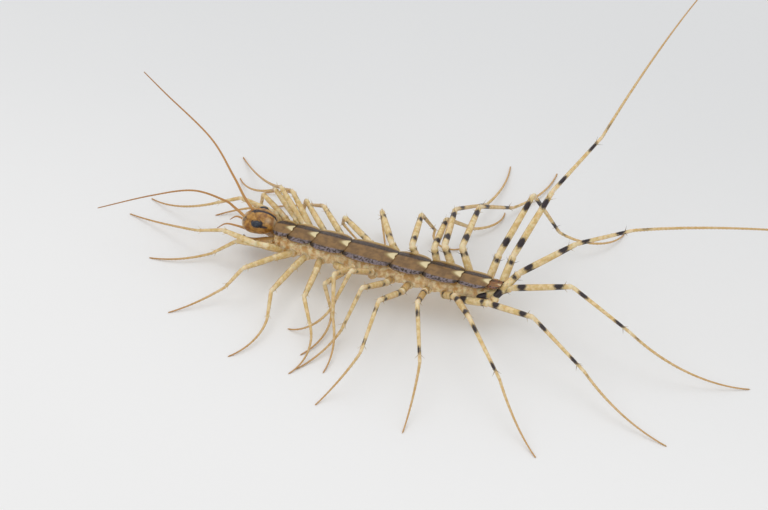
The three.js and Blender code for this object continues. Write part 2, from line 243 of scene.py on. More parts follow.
@dataclass
class Patch:
    """Closed surface: points, four- and three-sided faces with their map places, and values per point."""

    points: Array
    quads: Array
    quad_map: Array
    triangles: Array
    triangle_map: Array
    traits: dict[str, Array] = field(default_factory=dict)

    @classmethod
    def tube(cls, rings: Array, traits: dict[str, Array], cell: Cell = WHOLE) -> "Patch":
        """Skins rings of equal size and closes both ends with a fan.

        Args:
            rings: points by station and place round the ring, right-handed about the direction of travel.
            traits: values per station and place, or per station and 1.
            cell: the part of the bake map that the surface fills.

        Returns:
            The closed surface.
        """
        rows, cols = rings.shape[:2]
        row, col = np.meshgrid(np.arange(rows - 1), np.arange(cols), indexing="ij")
        after = (col + 1) % cols
        here, ahead = row * cols, (row + 1) * cols
        quads = np.stack([here + col, here + after, ahead + after, ahead + col], -1)
        corner_rows = np.stack([row, row, row + 1, row + 1], -1) / (rows - 1)
        corner_cols = np.stack([col, col + 1, col + 1, col], -1) / cols
        k = np.arange(cols)
        follow, last, first = (k + 1) % cols, (rows - 1) * cols, rows * cols
        fans = np.concatenate([
            np.stack([np.full(cols, first), follow, k], -1),
            np.stack([np.full(cols, first + 1), last + k, last + follow], -1),
        ])
        share = k / cols
        step = 1 / cols
        fan_cols = np.concatenate([
            np.stack([share, share + step, share], -1),
            np.stack([share, share, share + step], -1),
        ])
        fan_rows = np.concatenate([np.zeros((cols, 3)), np.ones((cols, 3))])
        centres = np.stack([rings[0].mean(0), rings[-1].mean(0)])
        values = {}
        for name, value in traits.items():
            full = np.broadcast_to(value, (rows, cols))
            values[name] = np.concatenate([full.ravel(), [full[0].mean(), full[-1].mean()]])
        return cls(
            np.concatenate([rings.reshape(-1, 3), centres]),
            quads.reshape(-1, 4),
            cell.place(corner_rows, corner_cols).reshape(-1, 4, 2),
            fans,
            cell.place(fan_rows, fan_cols),
            values,
        )

    @classmethod
    def joined(cls, patches: list["Patch"]) -> "Patch":
        """One surface of several, which share the same trait names."""
        starts = np.cumsum([0] + [len(p.points) for p in patches[:-1]])
        return cls(
            np.concatenate([p.points for p in patches]),
            np.concatenate([p.quads + n for p, n in zip(patches, starts)]),
            np.concatenate([p.quad_map for p in patches]),
            np.concatenate([p.triangles + n for p, n in zip(patches, starts)]),
            np.concatenate([p.triangle_map for p in patches]),
            {name: np.concatenate([p.traits[name] for p in patches]) for name in patches[0].traits},
        )


@dataclass(frozen=True)
class BodyFrame:
    """Takes body millimetres to row metres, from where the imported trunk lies."""

    trunk_rear: float = 13.1

    def shift(self) -> Array:
        """Metres from the body's origin to the row's, by the trunk's rear end and middle line."""
        low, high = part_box("trunk")
        return np.array([high.x - self.trunk_rear * MM, (low.y + high.y) / 2, 0.0])

    def to_row(self, points: Array) -> Array:
        """Points in row metres."""
        return np.asarray(points, float) * MM + self.shift()


@dataclass
class Workshop:
    """Makes finished pieces of patches and hands them to the frame."""

    body: BodyFrame = field(default_factory=BodyFrame)

    def piece(
        self, name: str, patch: Patch, material: bpy.types.Material, nodes: tuple[str, ...] = ()
    ) -> bpy.types.Object:
        """Builds one piece, with its traits, bake map and material, on the root body.

        Args:
            name: the piece's name.
            patch: its surface in body millimetres.
            material: its finish.
            nodes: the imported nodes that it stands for.

        Returns:
            The new object, at the origin.
        """
        mesh = bpy.data.meshes.new(name)
        faces = patch.quads.tolist() + patch.triangles.tolist()
        mesh.from_pydata(self.body.to_row(patch.points).tolist(), [], faces)
        places = np.concatenate([patch.quad_map.reshape(-1, 2), patch.triangle_map.reshape(-1, 2)])
        mesh.uv_layers.new(name=BAKE_MAP).data.foreach_set("uv", places.astype(np.float32).ravel())
        for trait, values in patch.traits.items():
            kept = mesh.attributes.new(trait, "FLOAT", "POINT")
            kept.data.foreach_set("value", values.astype(np.float32))
        mesh.polygons.foreach_set("use_smooth", np.ones(len(mesh.polygons), bool))
        mesh.materials.append(material)
        mesh.update()
        made = bpy.data.objects.new(name, mesh)
        bpy.context.scene.collection.objects.link(made)
        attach(made, "root")
        if nodes:
            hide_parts(*nodes)
        log.info("%s: %d faces", name, len(faces))
        return made


class Nodes:
    """Adds shader nodes to a tree and links them in one call."""

    def __init__(self, tree: bpy.types.NodeTree) -> None:
        """Keeps the tree."""
        self.tree = tree

    def add(self, kind: str, inputs: dict, **settings) -> bpy.types.Node:
        """A node of a kind.

        Args:
            kind: the node's class name after ShaderNode.
            inputs: socket name or index to a socket to link from, or a value.
            settings: properties of the node.

        Returns:
            The node.
        """
        node = self.tree.nodes.new("ShaderNode" + kind)
        for name, value in settings.items():
            setattr(node, name, value)
        for key, value in inputs.items():
            if isinstance(value, Socket):
                self.tree.links.new(value, node.inputs[key])
            else:
                node.inputs[key].default_value = value
        return node

    def math(self, operation: str, first: Socket | float, second: Socket | float = 0.0) -> Socket:
        """Result of a math node."""
        return self.add("Math", {0: first, 1: second}, operation=operation).outputs[0]

    def ease(self, value: Socket, low: float, high: float) -> Socket:
        """Smooth step of a value from low to high."""
        inputs = {"Value": value, "From Min": low, "From Max": high}
        return self.add("MapRange", inputs, interpolation_type="SMOOTHSTEP").outputs[0]

    def mix(self, share: Socket | float, first: Socket | Colour, second: Socket | Colour) -> Socket:
        """Colour between two, by a share."""
        return self.add("Mix", {0: share, 6: first, 7: second}, data_type="RGBA").outputs[2]

    def trait(self, name: str) -> Socket:
        """A value per point of the mesh."""
        return self.add("Attribute", {}, attribute_name=name).outputs["Fac"]

    def place(self) -> Socket:
        """Object coordinates, in metres."""
        return self.add("TexCoord", {}).outputs["Object"]

    def noise(self, where: Socket, scale: float, detail: float = 3.0) -> Socket:
        """Cloudy value about 0.5."""
        return self.add("TexNoise", {"Vector": where, "Scale": scale, "Detail": detail}).outputs[0]


class Mottle:
    """Shared group: cloudy blotches, fine grain and the height of a horny skin."""

    NAME = "cuticle_mottle"
    GRAIN_RATIO = 5.0
    PIT_RATIO = 9.0
    PIT_DEPTH = 0.4
    BLOTCH_STEP = (0.35, 0.65)

    @classmethod
    def tree(cls) -> bpy.types.NodeTree:
        """The group, built once."""
        found = bpy.data.node_groups.get(cls.NAME)
        if found:
            return found
        tree = bpy.data.node_groups.new(cls.NAME, "ShaderNodeTree")
        face = tree.interface
        face.new_socket("Vector", in_out="INPUT", socket_type="NodeSocketVector")
        face.new_socket("Scale", in_out="INPUT", socket_type="NodeSocketFloat")
        for name in ("Blotch", "Grain", "Height"):
            face.new_socket(name, in_out="OUTPUT", socket_type="NodeSocketFloat")
        nodes = Nodes(tree)
        entry = tree.nodes.new("NodeGroupInput")
        leave = tree.nodes.new("NodeGroupOutput")
        where, scale = entry.outputs["Vector"], entry.outputs["Scale"]
        blotch = nodes.add("TexNoise", {"Vector": where, "Scale": scale, "Detail": 4.0}).outputs[0]
        fine = nodes.math("MULTIPLY", scale, cls.GRAIN_RATIO)
        grain = nodes.add("TexNoise", {"Vector": where, "Scale": fine, "Detail": 2.0}).outputs[0]
        pitted = nodes.math("MULTIPLY", scale, cls.PIT_RATIO)
        pits = nodes.add("TexVoronoi", {"Vector": where, "Scale": pitted})
        deep = nodes.math("MULTIPLY", pits.outputs["Distance"], cls.PIT_DEPTH)
        links = tree.links
        links.new(nodes.ease(blotch, *cls.BLOTCH_STEP), leave.inputs["Blotch"])
        links.new(grain, leave.inputs["Grain"])
        links.new(nodes.math("ADD", grain, deep), leave.inputs["Height"])
        return tree

    @classmethod
    def put(cls, nodes: Nodes, scale: float) -> bpy.types.Node:
        """Places the group in a material, on object coordinates."""
        group = nodes.tree.nodes.new("ShaderNodeGroup")
        group.node_tree = cls.tree()
        nodes.tree.links.new(nodes.place(), group.inputs["Vector"])
        group.inputs["Scale"].default_value = scale
        return group


@dataclass(frozen=True)
class Gloss:
    """Numbers that are the same all over a surface, set on the shader's own sockets."""

    specular: float = 0.5
    coat: float = 0.0
    coat_roughness: float = 0.15
    subsurface: float = 0.0
    depth: float = 0.35
    bleed: tuple[float, float, float] = (1.0, 0.6, 0.3)
    bump: float = 0.15
    relief: float = 0.02


@dataclass(frozen=True)
class Finish:
    """A cuticle finish: a name, its gloss and the scale of its mottling."""

    name: str
    gloss: Gloss
    scale: float = 2500.0
    smoothest: float = 0.32
    roughest: float = 0.5

    def colour(self, nodes: Nodes, mottle: bpy.types.Node) -> Socket:
        """Colour over the surface; each finish says its own."""
        raise NotImplementedError

    def material(self) -> bpy.types.Material:
        """The material, made once."""
        found = bpy.data.materials.get(self.name)
        if found:
            return found
        made = bpy.data.materials.new(self.name)
        made.use_nodes = True
        nodes = Nodes(made.node_tree)
        shader = made.node_tree.nodes["Principled BSDF"]
        mottle = Mottle.put(nodes, self.scale)
        links = made.node_tree.links
        links.new(self.colour(nodes, mottle), shader.inputs["Base Color"])
        rough = nodes.add(
            "MapRange", {"Value": mottle.outputs["Grain"], "To Min": self.smoothest, "To Max": self.roughest}
        )
        links.new(rough.outputs[0], shader.inputs["Roughness"])
        height, deep = mottle.outputs["Height"], self.gloss.relief * MM
        relief = nodes.add("Bump", {"Height": height, "Strength": self.gloss.bump, "Distance": deep})
        links.new(relief.outputs[0], shader.inputs["Normal"])
        shader.inputs["Specular IOR Level"].default_value = self.gloss.specular
        shader.inputs["Coat Weight"].default_value = self.gloss.coat
        shader.inputs["Coat Roughness"].default_value = self.gloss.coat_roughness
        shader.inputs["Subsurface Weight"].default_value = self.gloss.subsurface
        shader.inputs["Subsurface Scale"].default_value = self.gloss.depth * MM
        shader.inputs["Subsurface Radius"].default_value = self.gloss.bleed
        return made


@dataclass(frozen=True)
class SkinFinish(Finish):
    """Waxy straw of legs and flanks and golden brown of the head, with the dark marks, painted shade at the
    leg outlines and in the flank folds, and painted highlights among the pale patches.
    """

    straw: Colour = tint(236, 217, 172)
    deep_straw: Colour = tint(214, 186, 124)
    tan: Colour = tint(178, 136, 80)
    # painted shade: golden brown laid on the legs where they are seen edge-on at their outline
    edge: Colour = tint(176, 130, 54)
    flank: Colour = tint(250, 230, 186)
    flank_deep: Colour = tint(212, 166, 100)
    head: Colour = tint(186, 138, 64)
    head_deep: Colour = tint(132, 86, 32)
    # dark marks, partly painted shade in the flank folds
    mark: Colour = tint(46, 36, 40)
    # pale patches, partly painted highlights on the lower flank and the head's rear
    pale: Colour = tint(236, 224, 196)
    blend: float = 0.35
    grazing: Step = (0.3, 0.85)
    rim_shade_strength: float = 0.85
    mark_step: Step = (0.3, 0.75)
    breakup: float = 0.5

    def colour(self, nodes: Nodes, mottle: bpy.types.Node) -> Socket:
        """Ground by part of the body with painted shade at the leg outlines, then pale patches, partly
        painted highlights, then dark marks, partly painted shade in the flank folds, with a broken edge.
        """
        blotch, grain = mottle.outputs["Blotch"], mottle.outputs["Grain"]
        legs = nodes.mix(blotch, self.straw, self.deep_straw)
        legs = nodes.mix(nodes.trait("tan"), legs, self.tan)
        # painted shade: the legs turn golden towards their outline by viewing angle
        facing = nodes.add("LayerWeight", {"Blend": self.blend}).outputs["Facing"]
        painted_rim_shade = nodes.math("MULTIPLY", nodes.ease(facing, *self.grazing), self.rim_shade_strength)
        legs = nodes.mix(painted_rim_shade, legs, self.edge)
        sides = nodes.mix(blotch, self.flank, self.flank_deep)
        skull = nodes.mix(blotch, self.head, self.head_deep)
        ground = nodes.mix(nodes.trait("flank"), legs, sides)
        ground = nodes.mix(nodes.trait("head"), ground, skull)
        ground = nodes.mix(nodes.trait("pale"), ground, self.pale)
        broken = nodes.math("MULTIPLY", nodes.math("SUBTRACT", grain, 0.5), self.breakup)
        marked = nodes.ease(nodes.math("ADD", nodes.trait("mark"), broken), *self.mark_step)
        return nodes.mix(marked, ground, self.mark)


@dataclass(frozen=True)
class PlateFinish(Finish):
    """Olive-brown back plates: taupe middle, dark mottled stripes with a painted purple sheen and painted
    shade on the right side, pale margins, cream saddles.
    """

    taupe: Colour = tint(136, 102, 56)
    taupe_deep: Colour = tint(110, 80, 42)
    dark: Colour = tint(48, 31, 14)
    # painted reflection: purple-grey sheen in the mottled stripes
    purple_sheen: Colour = tint(122, 109, 114)
    margin: Colour = tint(146, 112, 56)
    rim: Colour = tint(184, 156, 104)
    cream: Colour = tint(222, 206, 162)
    olive: Colour = tint(146, 122, 74)
    rust: Colour = tint(138, 78, 36)
    stir: float = 0.16
    cloud_scale: float = 4600.0
    cloud_step: Step = (0.38, 0.58)
    rust_step: Step = (0.4, 0.6)
    rear_step: Step = (0.75, 0.2)
    front_step: Step = (0.5, 0.1)
    # painted shade: the right stripe darker and wider, where the plate turns away from the camera
    far_shade_step: Step = (0.0, 0.2)
    far_shade_strength: float = 0.8
    far_shade_widening: float = 0.14
    stripe_step: Step = (0.46, 0.56)
    margin_step: Step = (0.78, 0.86)
    rim_step: Step = (0.95, 0.99)
    saddle_bow: float = 2.2
    saddle_length: float = 0.7
    olive_step: Step = (1.0, 0.66)
    cream_step: Step = (0.74, 0.42)

    def colour(self, nodes: Nodes, mottle: bpy.types.Node) -> Socket:
        """Stripes by the share across the plate, then the saddle by the distances to the rear and the middle.

        The stripes are darker at both ends of a plate. On the right side they are painted darker and wider,
        as painted shade where the plate turns away from the camera, and their purple mottling is a painted
        sheen.
        """
        blotch, grain = mottle.outputs["Blotch"], mottle.outputs["Grain"]
        stir = nodes.math("MULTIPLY", nodes.math("SUBTRACT", grain, 0.5), self.stir)
        across = nodes.math("ADD", nodes.math("ABSOLUTE", nodes.trait("across")), stir)
        rear = nodes.math("ADD", nodes.trait("rear"), stir)
        middle = nodes.mix(blotch, self.taupe, self.taupe_deep)
        cloudy = nodes.noise(nodes.place(), self.cloud_scale, 2.0)
        # stripes mottled dark and purple; the purple is a painted sheen
        mottled = nodes.mix(nodes.ease(cloudy, *self.cloud_step), self.dark, self.purple_sheen)
        at_front = nodes.ease(nodes.trait("front"), *self.front_step)
        ends = nodes.math("MAXIMUM", nodes.ease(rear, *self.rear_step), at_front)
        # painted shade: the stripe on the right side is darker and wider
        on_far_side = nodes.ease(nodes.trait("across"), *self.far_shade_step)
        right = nodes.math("MULTIPLY", on_far_side, self.far_shade_strength)
        stripe = nodes.mix(nodes.math("MAXIMUM", ends, right), mottled, self.dark)
        widened = nodes.math("ADD", across, nodes.math("MULTIPLY", right, self.far_shade_widening))
        colour = nodes.mix(nodes.ease(widened, *self.stripe_step), middle, stripe)
        outer = nodes.mix(blotch, self.margin, self.taupe)
        colour = nodes.mix(nodes.ease(across, *self.margin_step), colour, outer)
        colour = nodes.mix(nodes.ease(across, *self.rim_step), colour, self.rim)
        side = nodes.math("ABSOLUTE", nodes.trait("side"))
        bowed = nodes.math("MULTIPLY", nodes.math("MULTIPLY", side, side), self.saddle_bow)
        taper = nodes.math("ADD", nodes.math("MULTIPLY", rear, self.saddle_length), bowed)
        colour = nodes.mix(nodes.ease(taper, *self.olive_step), colour, self.olive)
        colour = nodes.mix(nodes.ease(taper, *self.cream_step), colour, self.cream)
        tail = nodes.math("MULTIPLY", nodes.trait("tail"), nodes.ease(cloudy, *self.rust_step))
        return nodes.mix(tail, colour, self.rust)


@dataclass(frozen=True)
class HornFinish(Finish):
    """Amber horn of feelers, palps and poison claws, darker or paler along its length."""

    root: Colour = tint(200, 156, 92)
    body: Colour = tint(192, 142, 82)
    tip: Colour = tint(166, 118, 72)
    root_step: Step = (0.0, 0.35)
    turn: float = 0.45
    ring_shade: float = 0.45

    def colour(self, nodes: Nodes, mottle: bpy.types.Node) -> Socket:
        """Root to tip colour, with ring-by-ring shade."""
        length = nodes.trait("length")
        colour = nodes.mix(nodes.ease(length, *self.root_step), self.root, self.body)
        colour = nodes.mix(nodes.ease(length, self.turn, 1.0), colour, self.tip)
        shade = nodes.math("MULTIPLY", nodes.trait("ring"), self.ring_shade)
        darker = nodes.mix(mottle.outputs["Blotch"], self.tip, self.body)
        return nodes.mix(shade, colour, darker)


@dataclass(frozen=True)
class EyeFinish(Finish):
    """Blue-black compound eye with small facets."""

    deep: Colour = tint(12, 13, 20)
    haze: Colour = tint(48, 58, 74)
    facets: float = 17000.0
    facet_step: Step = (0.3, 0.75)

    def colour(self, nodes: Nodes, mottle: bpy.types.Node) -> Socket:
        """Dark ground with a grey-blue haze between facets."""
        cells = nodes.add("TexVoronoi", {"Vector": nodes.place(), "Scale": self.facets})
        return nodes.mix(nodes.ease(cells.outputs["Distance"], *self.facet_step), self.deep, self.haze)


@dataclass(frozen=True)
class FloorFinish(Finish):
    """Matt pale paper, with painted shade that greys it towards the far side."""

    light: Colour = tint(240, 240, 240)
    # painted shade: the greyer colour towards the far side
    grey: Colour = tint(222, 223, 224)
    near: float = -0.04
    far: float = 0.05
    cloud_scale: float = 20.0
    cloud_depth: float = 0.02

    def colour(self, nodes: Nodes, mottle: bpy.types.Node) -> Socket:
        """Nearly even white, with painted shade: a little greyer towards the far side, where the light falls
        off, with a cloud through it.
        """
        away = nodes.add("SeparateXYZ", {0: nodes.place()}).outputs["Y"]
        cloud = nodes.math("SUBTRACT", nodes.noise(nodes.place(), self.cloud_scale), 0.5)
        reach = nodes.math("ADD", away, nodes.math("MULTIPLY", cloud, self.cloud_depth))
        return nodes.mix(nodes.ease(reach, self.near, self.far), self.light, self.grey)


SKIN = SkinFinish("waxy_cuticle", Gloss(specular=0.45, subsurface=0.3, bump=0.25))
PLATE = PlateFinish("banded_plate", Gloss(specular=0.35, coat=0.08, bump=0.35), scale=1800.0)
FEELER = HornFinish("ringed_horn", Gloss(specular=0.4, bump=0.2))
FANG = HornFinish(
    "poison_claw_horn",
    Gloss(specular=0.6, coat=0.4),
    smoothest=0.2,
    roughest=0.32,
    root=tint(204, 168, 108),
    body=tint(184, 138, 76),
    tip=tint(70, 38, 22),
    turn=0.78,
)
EYE = EyeFinish(
    "compound_eye",
    Gloss(specular=0.35, coat=0.2, coat_roughness=0.2, bump=0.4),
    smoothest=0.3,
    roughest=0.4,
)
FLOOR = FloorFinish("pale_paper", Gloss(specular=0.1, bump=0.05), scale=300.0, smoothest=0.8, roughest=0.95)


@dataclass(frozen=True)
class Sockets:
    """Where the legs meet the trunk: close together at both ends, widest apart in the middle."""

    middle: float = 0.6
    reach: float = 11.2
    even: float = 1.2
    crowd: float = 0.2
    bow: float = 0.7
    rear_bow: float = 0.5
    half: float = 1.5
    height: float = 2.4
    root_half: float = 0.75
    root_drop: float = 0.45
    rear_half: dict[int, float] = field(default_factory=lambda: {14: 0.9, 15: 0.5})
    rear_raise: dict[int, float] = field(default_factory=lambda: {14: 0.3, 15: 0.6})

    def along(self, pair: Array | float) -> Array:
        """x of a pair's sockets: a cubic in its place from -1 to 1, bowed towards the rear."""
        t = 2 * (np.asarray(pair, float) - 1) / (LEG_PAIRS - 1) - 1
        bow = self.bow * t**2 + self.rear_bow * np.maximum(t, 0) ** 4
        return self.middle + self.reach * (self.even * t - self.crowd * t**3) + bow

    def point(self, pair: int, side: Side) -> Array:
        """Socket of one leg."""
        half = self.rear_half.get(pair, self.half)
        return np.array([self.along(pair), side.value * half, self.height + self.rear_raise.get(pair, 0.0)])

    def root(self, pair: int, side: Side) -> Array:
        """Where that leg's coxa leaves the trunk."""
        socket = self.point(pair, side)
        return np.array([socket[0], side.value * self.root_half, socket[2] - self.root_drop])


SOCKETS = Sockets()


@dataclass(frozen=True)
class Trunk:
    """Flanks and belly: an oval loft with a fold between neighbouring segments."""

    front: float = -10.15
    rear: float = 13.05
    mid_z: float = 2.45
    half: float = 1.2
    up: float = 1.1
    down: float = 0.95
    tail_from: float = 5.0
    tail_half: float = 0.8
    tail_raise: float = 0.2
    tail_up: float = 0.2
    tail_down: float = 0.1
    fold: float = 0.17
    swell: float = 0.09
    stations: int = 220
    around: int = 64

    def patch(self, cell: Cell) -> Patch:
        """An oval at each station, of a half width and upper and lower heights, drawn in at the folds."""
        t = np.linspace(0, 1, self.stations)[:, None]
        x = self.front + (self.rear - self.front) * crowded(t)
        angle = circle(self.around)
        tail = smooth((x - self.tail_from) / (self.rear - self.tail_from))
        ends = smooth((x - self.front + 0.7) / 2.2) * smooth((self.rear + 0.5 - x) / 1.6)
        pairs = np.arange(1, LEG_PAIRS + 1)
        phase = np.interp(x.ravel(), SOCKETS.along(pairs), pairs, left=0.5, right=LEG_PAIRS + 0.5)[:, None]
        between = np.abs(phase - np.round(phase)) * 2
        high = np.sin(angle)
        flank = np.clip(1 - np.abs(high + 0.15), 0, 1)
        folded = self.fold * bump(between, 1.0, 0.28) * (0.4 + 0.6 * flank)
        drawn = 1 - folded + self.swell * (1 - between) * flank
        half = (self.half + (self.tail_half - self.half) * tail) * (0.65 + 0.35 * ends) * drawn
        up = (self.up - self.tail_up * tail) * (0.6 + 0.4 * ends) * drawn
        down = (self.down - self.tail_down * tail) * (0.55 + 0.45 * ends) * drawn
        y = half * np.cos(angle)
        z = self.mid_z + self.tail_raise * tail + np.where(high > 0, up, down) * high
        rings = np.stack(np.broadcast_arrays(x, y, z), axis=-1)
        # painted shade: darker in the folds between segments, most towards the top of the flank under the
        # plates; the spots are dark spots high on the flank
        folds = bump(between, 1.0, 0.2) * smooth(0.5 + 0.5 * high)
        spots = bump(high, 0.55, 0.2) * bump(between, 0.55, 0.3)
        traits = {
            "flank": np.ones_like(t),
            "head": np.zeros_like(t),
            "tan": np.zeros_like(t),
            # painted highlight: pale glints on the lower flank between the legs
            "pale": 0.6 * bump(between, 0.35, 0.35) * bump(high, -0.1, 0.35),
            "mark": 0.3 * folds + 0.25 * spots,
        }
        return Patch.tube(rings, traits, cell)


@dataclass(frozen=True)
class Head:
    """Rounded head capsule, turned a little, with sutures, eye rims and feeler sockets."""

    centre: tuple[float, float, float] = (-12.1, 0.3, 3.72)
    yaw: float = 9.0
    half_length: float = 1.76
    half_width: float = 1.45
    up: float = 1.18
    down: float = 1.08
    blunt: float = 2.5
    front_drop: float = 0.12
    stations: int = 90
    around: int = 108
    eye: tuple[float, float, float] = (0.05, 1.22, 0.53)
    eye_size: tuple[float, float, float] = (0.52, 0.33, 0.42)
    eye_flat: float = 0.95
    eye_pole: float = 0.004
    eye_stations: int = 40
    eye_around: int = 56
    feeler_socket: tuple[float, float, float] = (-1.25, 0.62, 0.5)
    eye_rim: Mound = (0.04, 0.5, 0.08)
    eye_pit: Mound = (-0.06, 0.0, 0.35)
    socket_rim: Mound = (0.05, 0.3, 0.1)
    socket_pit: Mound = (-0.05, 0.0, 0.18)
    neck_bead: Mound = (0.04, 1.5, 0.1)

    def apart(self, x: Array, y: Array, z: Array, place: tuple[float, float, float]) -> Array:
        """Distance of points to a place that both sides have."""
        return np.sqrt((x - place[0]) ** 2 + (np.abs(y) - place[1]) ** 2 + (z - place[2]) ** 2)

    def placed(self, points: Array) -> Array:
        """Points of the head's own frame turned by the yaw and moved to the head's place."""
        turn = np.radians(self.yaw)
        x = points[..., 0] * np.cos(turn) - points[..., 1] * np.sin(turn)
        y = points[..., 0] * np.sin(turn) + points[..., 1] * np.cos(turn)
        return np.stack([x, y, points[..., 2]], axis=-1) + np.array(self.centre)

    def patch(self, cell: Cell) -> Patch:
        """The capsule: an oval whose size falls as (1 - |x / l| ** 2.5) ** 0.5, with relief across it."""
        t = np.linspace(0, 1, self.stations)[:, None]
        x = -self.half_length * np.cos(np.pi * t)
        size = np.sqrt(np.maximum(1 - np.abs(x / (self.half_length * 1.001)) ** self.blunt, 0))
        angle = circle(self.around)
        high = np.sin(angle)
        forward = np.clip(-x / self.half_length, 0, 1)
        y = self.half_width * size * np.cos(angle)
        z = -self.front_drop * forward + np.where(high > 0, self.up, self.down) * size * high
        x, y, z = np.broadcast_arrays(x, y, z)
        to_eye = self.apart(x, y, z, self.eye)
        to_socket = self.apart(x, y, z, self.feeler_socket)
        top = smooth(z / 0.6)
        suture = bump(y, 0.0, 0.06) * top
        cross = bump(x + 0.45 - 0.5 * y**2, 0.0, 0.07) * top
        relief = mound(to_eye, self.eye_rim) + mound(to_eye, self.eye_pit)
        relief += mound(to_socket, self.socket_rim) + mound(to_socket, self.socket_pit)
        relief -= 0.03 * suture + 0.1 * cross
        relief -= 0.1 * smooth((-x - 0.5) / 0.5) * top * smooth(z)
        relief += 0.05 * bump(x, -1.35, 0.25) * bump(z, -0.15, 0.35) * bump(y, 0, 0.5)
        relief -= 0.04 * bump(z + 0.35 + 0.15 * x, 0.0, 0.08) * smooth(1 - x)
        relief += mound(x, self.neck_bead)
        outward = unit(np.stack([x / self.half_length**2, y / self.half_width**2, z / self.up**2], axis=-1))
        rings = self.placed(np.stack([x, y, z], axis=-1) + relief[..., None] * outward)
        streak = bump(y, 0.1, 0.2 + 0.2 * bump(x, -0.35, 0.3)) * smooth((x + 1.1) / 0.4) * top
        band = np.maximum(0.2 - 0.1 * x, 0.06)
        wedge = bump(z - 0.54 + 0.27 * x, 0.0, band) * smooth((x - 0.2) / 0.2) * smooth((1.4 - x) / 0.4)
        wedge = wedge * smooth(np.abs(y) * 2 - 1) + 0.6 * bump(to_eye, 0.53, 0.05)
        # painted highlight: a pale patch high on the rear of the head, on both sides
        painted_highlight = bump(x, 1.15, 0.28) * bump(z, 0.85, 0.22) * smooth(np.abs(y) * 2 - 0.6)
        shoulder = bump(np.abs(y), 1.15, 0.16) * bump(x, 0.3, 1.3) * bump(z, 0.75, 0.3)
        front = bump(to_socket, 0.2, 0.14)
        beneath = 0.4 * smooth((-z - 0.2) / 0.5)
        # pale underside, pale front and rear rim, plus the painted highlight
        pale = beneath + 0.5 * bump(x, -1.55, 0.2) + 0.4 * bump(x, 1.62, 0.1) + 0.45 * painted_highlight
        traits = {
            "flank": np.zeros_like(x),
            "head": np.ones_like(x),
            "tan": np.zeros_like(x),
            "pale": np.clip(pale, 0, 1),
            "mark": np.clip(0.95 * streak + 0.85 * wedge + 0.7 * shoulder + 0.6 * front, 0, 1),
        }
        return Patch.tube(rings, traits, cell)

    def eye_patch(self, side: Side) -> Patch:
        """Compound eye: an ellipsoid by latitude and longitude, slightly flattened outwards."""
        t = np.linspace(self.eye_pole, 1 - self.eye_pole, self.eye_stations)[:, None] * np.pi
        angle = circle(self.eye_around)
        along, over, out = self.eye_size
        x = -along * np.cos(t)
        y = out * np.sin(t) * np.cos(angle)
        z = over * np.sin(t) * np.sin(angle)
        ball = np.stack(np.broadcast_arrays(x, y * self.eye_flat, z), axis=-1)
        where = np.array([self.eye[0], side.value * self.eye[1], self.eye[2]])
        return Patch.tube(self.placed(ball + where), {})


@dataclass(frozen=True)
class LegShape:
    """Sizes that all legs share; radii are at the root, middle and end of each segment."""

    coxa: float = 0.87
    prefemur: tuple[float, float, float] = (2.0, 1.4, 1.5)
    femur: tuple[float, float, float] = (4.0, 2.9, 1.8)
    tibia: tuple[float, float] = (2.9, 4.4)
    foot_z: float = 0.2511
    sink: float = 1.5
    corner: float = 0.2
    ring_pitch: float = 0.4
    ring_stations: int = 4
    around: int = 14
    radii: tuple[tuple[float, float, float], ...] = (
        (0.36, 0.4, 0.33),
        (0.32, 0.335, 0.29),
        (0.275, 0.28, 0.205),
        (0.19, 0.165, 0.135),
        (0.13, 0.095, 0.055),
    )
    stouter: tuple[float, ...] = (0.05, 0.14, 0.14, 0.12, 0.1)
    straight: tuple[int, ...] = (8, 16, 24, 20)
    bend: int = 5
    keel: float = 0.05
    end_pinch: Mound = (0.14, 0.0, 0.1)
    root_pinch: Mound = (0.1, 0.0, 0.12)
    collar: Mound = (0.12, 0.22, 0.1)
    ripple: float = 0.07
    tip_run: float = 0.08
    bands: tuple[Bell, Bell] = ((0.19, 0.095), (0.8, 0.1))
    first_band: Mound = (0.6, 0.06, 0.05)
    base_band: Mound = (0.9, 0.05, 0.12)
    faint: float = 0.34
    middle_gain: float = 0.26
    rear_gain: float = 0.5


SHAPE = LegShape()


